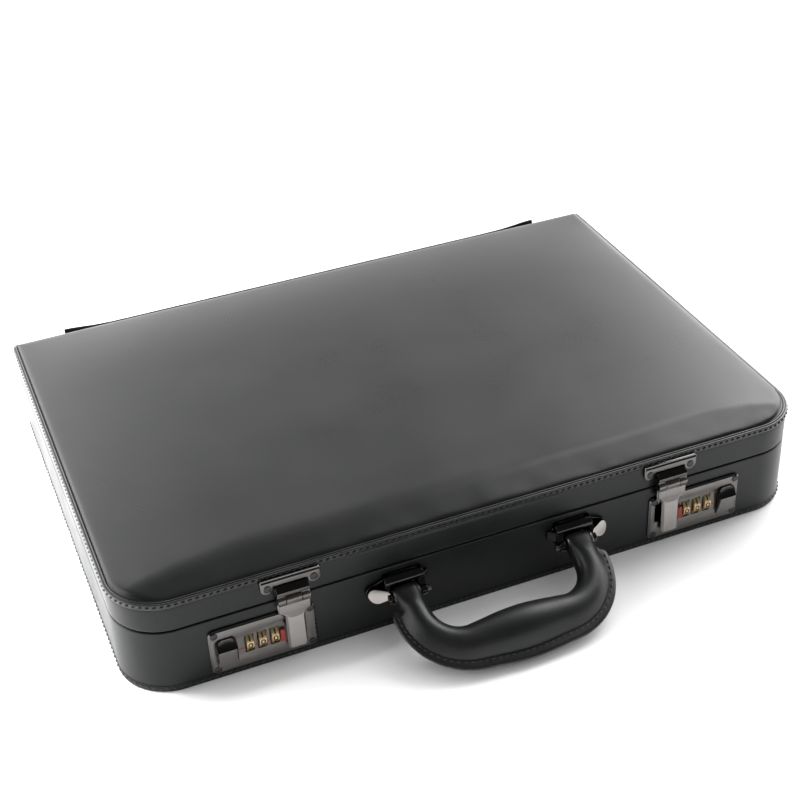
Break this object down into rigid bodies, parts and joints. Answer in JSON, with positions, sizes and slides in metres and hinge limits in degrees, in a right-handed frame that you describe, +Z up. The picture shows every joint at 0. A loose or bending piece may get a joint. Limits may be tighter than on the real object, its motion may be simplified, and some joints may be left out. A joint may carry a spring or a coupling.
{
  "type": "leather briefcase",
  "caption": "Slim hard attache case in black leather with a padded lid, combination locks, hanging hasps, a padded swinging handle and a lined interior.",
  "frame": {"origin": "centre of the case's underside, on the plane that it rests on", "axes": "+X across the width, +Y towards the hinged back, +Z up through the padded lid"},
  "size_m": [0.4412, 0.3712, 0.071],
  "materials": {
    "smooth_leather": "smooth semi-gloss black leather",
    "edge_leather": "folded and stitched black leather edge",
    "grip_leather": "padded black leather, glossy from handling",
    "board": "fibreboard, matt",
    "lining": "charcoal suede cloth",
    "steel": "satin steel",
    "gunmetal": "black nickel plate, satin face with polished bevels",
    "brass": "satin brass",
    "red": "red moulded plastic",
    "dark_rivet": "dark satin",
    "polished_rivet": "polished black nickel"
  },
  "bodies": {
    "base": {"base_side_band": "smooth_leather", "base_frame": "board", "base_edge_binding": "edge_leather", "base_bottom_cover": "smooth_leather", "base_bottom_board": "board", "base_lining": "lining", "hinge_leaf_base": "steel", "hinge_pin": "steel", "hinge_strip_lower": "smooth_leather", "lock_rivets": "dark_rivet", "bracket_rivets": "polished_rivet", "stay_base_pivots": "steel", "lock_plate_left": "gunmetal", "lock_case_left": "steel", "dial_axle_left": "steel", "handle_bracket_left": "gunmetal", "handle_pin_left": "steel", "lock_plate_right": "gunmetal", "lock_case_right": "steel", "dial_axle_right": "steel", "handle_bracket_right": "gunmetal", "handle_pin_right": "steel"},
    "lid": {"lid_side_band": "smooth_leather", "lid_frame": "board", "lid_edge_binding": "edge_leather", "lid_top_board": "board", "lid_top_cushion": "smooth_leather", "lid_lining": "lining", "lid_document_pocket": "lining", "lid_pen_loops": "lining", "hinge_leaf_lid": "steel", "hinge_strip_upper": "smooth_leather", "keeper_rivets": "dark_rivet", "stay_lid_pivots": "steel", "keeper_left": "gunmetal", "hasp_pin_left": "steel", "keeper_right": "gunmetal", "hasp_pin_right": "steel"},
    "handle": {"handle_core": "steel", "handle_grip": "grip_leather", "handle_welt": "edge_leather"},
    "hasp_left": {"hasp_left": "gunmetal"},
    "release_slider_left": {"release_slider_left": "gunmetal"},
    "reset_button_left": {"reset_button_left": "red"},
    "dial_left_1": {"dial_left_1": "brass"},
    "dial_left_2": {"dial_left_2": "brass"},
    "dial_left_3": {"dial_left_3": "brass"},
    "stay_lower_left": {"stay_lower_left": "steel"},
    "stay_upper_left": {"stay_upper_left": "steel"},
    "hasp_right": {"hasp_right": "gunmetal"},
    "release_slider_right": {"release_slider_right": "gunmetal"},
    "reset_button_right": {"reset_button_right": "red"},
    "dial_right_1": {"dial_right_1": "brass"},
    "dial_right_2": {"dial_right_2": "brass"},
    "dial_right_3": {"dial_right_3": "brass"},
    "stay_lower_right": {"stay_lower_right": "steel"},
    "stay_upper_right": {"stay_upper_right": "steel"}
  },
  "joints": [
    {"name": "lid_hinge", "type": "hinge", "parent": "base", "child": "lid", "pos_m": [0, 0.1556, 0.0445], "axis": [-1, 0, 0], "range_deg": [0, 95]},
    {"name": "handle_swing", "type": "hinge", "parent": "base", "child": "handle", "pos_m": [0, -0.162, 0.028], "axis": [-1, 0, 0], "range_deg": [-45, 60]},
    {"name": "hasp_left", "type": "hinge", "parent": "lid", "child": "hasp_left", "pos_m": [-0.1218, -0.1573, 0.04725], "axis": [-1, 0, 0], "range_deg": [0, 100]},
    {"name": "release_left", "type": "slide", "parent": "base", "child": "release_slider_left", "axis": [-1, 0, 0], "range_m": [0, 0.003], "stiffness_N_per_m": 150, "springref_m": -0.001},
    {"name": "reset_left", "type": "slide", "parent": "base", "child": "reset_button_left", "axis": [0, 1, 0], "range_m": [0, 0.001], "stiffness_N_per_m": 200, "springref_m": -0.0005},
    {"name": "dial_left_1", "type": "hinge", "parent": "base", "child": "dial_left_1", "pos_m": [-0.1345, -0.1499, 0.0212], "axis": [1, 0, 0], "continuous": true},
    {"name": "dial_left_2", "type": "hinge", "parent": "base", "child": "dial_left_2", "pos_m": [-0.142, -0.1499, 0.0212], "axis": [1, 0, 0], "continuous": true},
    {"name": "dial_left_3", "type": "hinge", "parent": "base", "child": "dial_left_3", "pos_m": [-0.1495, -0.1499, 0.0212], "axis": [1, 0, 0], "continuous": true},
    {"name": "stay_lower_left", "type": "hinge", "parent": "base", "child": "stay_lower_left", "pos_m": [-0.2115, 0.1206, 0.038], "axis": [-1, 0, 0], "range_deg": [0, 95]},
    {"name": "stay_upper_left", "type": "hinge", "parent": "lid", "child": "stay_upper_left", "pos_m": [-0.2098, 0.0856, 0.051], "axis": [-1, 0, 0], "range_deg": [-95, 0]},
    {"name": "hasp_right", "type": "hinge", "parent": "lid", "child": "hasp_right", "pos_m": [0.1218, -0.1573, 0.04725], "axis": [-1, 0, 0], "range_deg": [0, 100]},
    {"name": "release_right", "type": "slide", "parent": "base", "child": "release_slider_right", "axis": [1, 0, 0], "range_m": [0, 0.003], "stiffness_N_per_m": 150, "springref_m": -0.001},
    {"name": "reset_right", "type": "slide", "parent": "base", "child": "reset_button_right", "axis": [0, 1, 0], "range_m": [0, 0.001], "stiffness_N_per_m": 200, "springref_m": -0.0005},
    {"name": "dial_right_1", "type": "hinge", "parent": "base", "child": "dial_right_1", "pos_m": [0.1345, -0.1499, 0.0212], "axis": [1, 0, 0], "continuous": true},
    {"name": "dial_right_2", "type": "hinge", "parent": "base", "child": "dial_right_2", "pos_m": [0.142, -0.1499, 0.0212], "axis": [1, 0, 0], "continuous": true},
    {"name": "dial_right_3", "type": "hinge", "parent": "base", "child": "dial_right_3", "pos_m": [0.1495, -0.1499, 0.0212], "axis": [1, 0, 0], "continuous": true},
    {"name": "stay_lower_right", "type": "hinge", "parent": "base", "child": "stay_lower_right", "pos_m": [0.2115, 0.1206, 0.038], "axis": [-1, 0, 0], "range_deg": [0, 95]},
    {"name": "stay_upper_right", "type": "hinge", "parent": "lid", "child": "stay_upper_right", "pos_m": [0.2098, 0.0856, 0.051], "axis": [-1, 0, 0], "range_deg": [-95, 0]}
  ],
  "couplings": [
    {"joint": "stay_lower_left", "follows": "lid_hinge", "ratio": 1},
    {"joint": "stay_upper_left", "follows": "lid_hinge", "ratio": -1},
    {"joint": "stay_lower_right", "follows": "lid_hinge", "ratio": 1},
    {"joint": "stay_upper_right", "follows": "lid_hinge", "ratio": -1}
  ]
}
